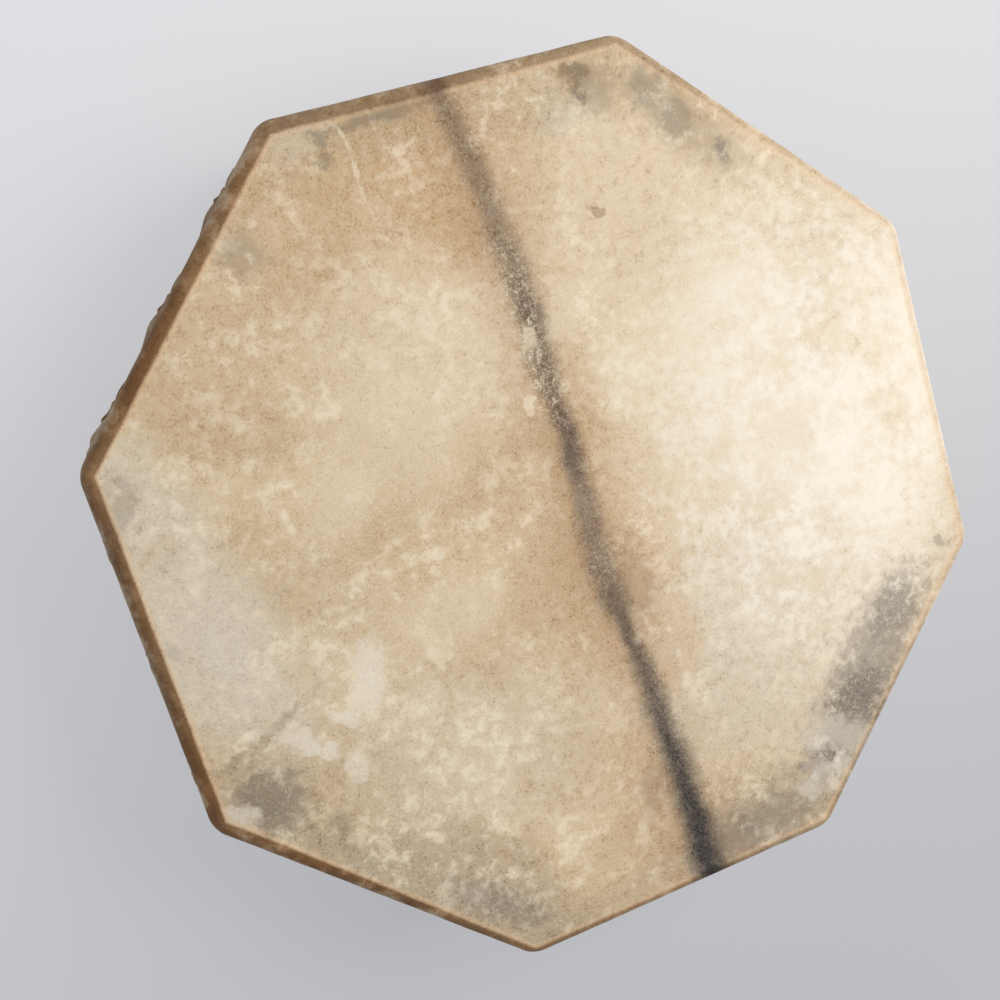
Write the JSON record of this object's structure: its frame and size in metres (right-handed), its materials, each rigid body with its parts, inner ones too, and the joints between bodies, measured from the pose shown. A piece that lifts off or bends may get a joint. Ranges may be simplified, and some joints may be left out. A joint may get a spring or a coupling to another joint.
{
  "type": "ocean drum",
  "caption": "Octagonal ocean drum: a mitred wooden frame closed by two laced rawhide heads, with loose steel shot that rolls between them to sound like surf.",
  "frame": {"origin": "middle of the back head's outer face, which the drum lies on", "axes": "+Z along the drum's axis, out of the front head; X and Y square to two pairs of flats, with +Y towards the flat that is uppermost in the picture"},
  "size_m": [0.4428, 0.4428, 0.0786],
  "materials": {
    "frame_wood": "sanded, oiled",
    "spline_wood": "raw",
    "front_hide": "dry rawhide",
    "back_hide": "dry rawhide",
    "lace_hide": "dry rawhide lace",
    "shot_steel": "tumbled steel"
  },
  "bodies": {
    "drum": {"frame_stave_1": "frame_wood", "frame_stave_2": "frame_wood", "frame_stave_3": "frame_wood", "frame_stave_4": "frame_wood", "frame_stave_5": "frame_wood", "frame_stave_6": "frame_wood", "frame_stave_7": "frame_wood", "frame_stave_8": "frame_wood", "corner_spline_1": "spline_wood", "corner_spline_2": "spline_wood", "corner_spline_3": "spline_wood", "corner_spline_4": "spline_wood", "corner_spline_5": "spline_wood", "corner_spline_6": "spline_wood", "corner_spline_7": "spline_wood", "corner_spline_8": "spline_wood", "front_head": "front_hide", "back_head": "back_hide", "lacing": "lace_hide", "lace_knot": "lace_hide"},
    "bead_row_01": {"bead_row_01": "shot_steel"},
    "bead_row_02": {"bead_row_02": "shot_steel"},
    "bead_row_03": {"bead_row_03": "shot_steel"},
    "bead_row_04": {"bead_row_04": "shot_steel"},
    "bead_row_05": {"bead_row_05": "shot_steel"},
    "bead_row_06": {"bead_row_06": "shot_steel"},
    "bead_row_07": {"bead_row_07": "shot_steel"},
    "bead_row_08": {"bead_row_08": "shot_steel"},
    "bead_row_09": {"bead_row_09": "shot_steel"},
    "bead_row_10": {"bead_row_10": "shot_steel"},
    "bead_row_11": {"bead_row_11": "shot_steel"},
    "bead_row_12": {"bead_row_12": "shot_steel"}
  },
  "joints": [
    {"name": "bead_roll_01", "type": "slide", "parent": "drum", "child": "bead_row_01", "axis": [1, 0, 0], "range_m": [-0.0588, 0.0588]},
    {"name": "bead_roll_02", "type": "slide", "parent": "drum", "child": "bead_row_02", "axis": [1, 0, 0], "range_m": [-0.076, 0.076]},
    {"name": "bead_roll_03", "type": "slide", "parent": "drum", "child": "bead_row_03", "axis": [1, 0, 0], "range_m": [-0.089, 0.089]},
    {"name": "bead_roll_04", "type": "slide", "parent": "drum", "child": "bead_row_04", "axis": [1, 0, 0], "range_m": [-0.1063, 0.1063]},
    {"name": "bead_roll_05", "type": "slide", "parent": "drum", "child": "bead_row_05", "axis": [1, 0, 0], "range_m": [-0.1117, 0.1117]},
    {"name": "bead_roll_06", "type": "slide", "parent": "drum", "child": "bead_row_06", "axis": [1, 0, 0], "range_m": [-0.1117, 0.1117]},
    {"name": "bead_roll_07", "type": "slide", "parent": "drum", "child": "bead_row_07", "axis": [1, 0, 0], "range_m": [-0.1117, 0.1117]},
    {"name": "bead_roll_08", "type": "slide", "parent": "drum", "child": "bead_row_08", "axis": [1, 0, 0], "range_m": [-0.1117, 0.1117]},
    {"name": "bead_roll_09", "type": "slide", "parent": "drum", "child": "bead_row_09", "axis": [1, 0, 0], "range_m": [-0.1063, 0.1063]},
    {"name": "bead_roll_10", "type": "slide", "parent": "drum", "child": "bead_row_10", "axis": [1, 0, 0], "range_m": [-0.089, 0.089]},
    {"name": "bead_roll_11", "type": "slide", "parent": "drum", "child": "bead_row_11", "axis": [1, 0, 0], "range_m": [-0.076, 0.076]},
    {"name": "bead_roll_12", "type": "slide", "parent": "drum", "child": "bead_row_12", "axis": [1, 0, 0], "range_m": [-0.0588, 0.0588]}
  ]
}
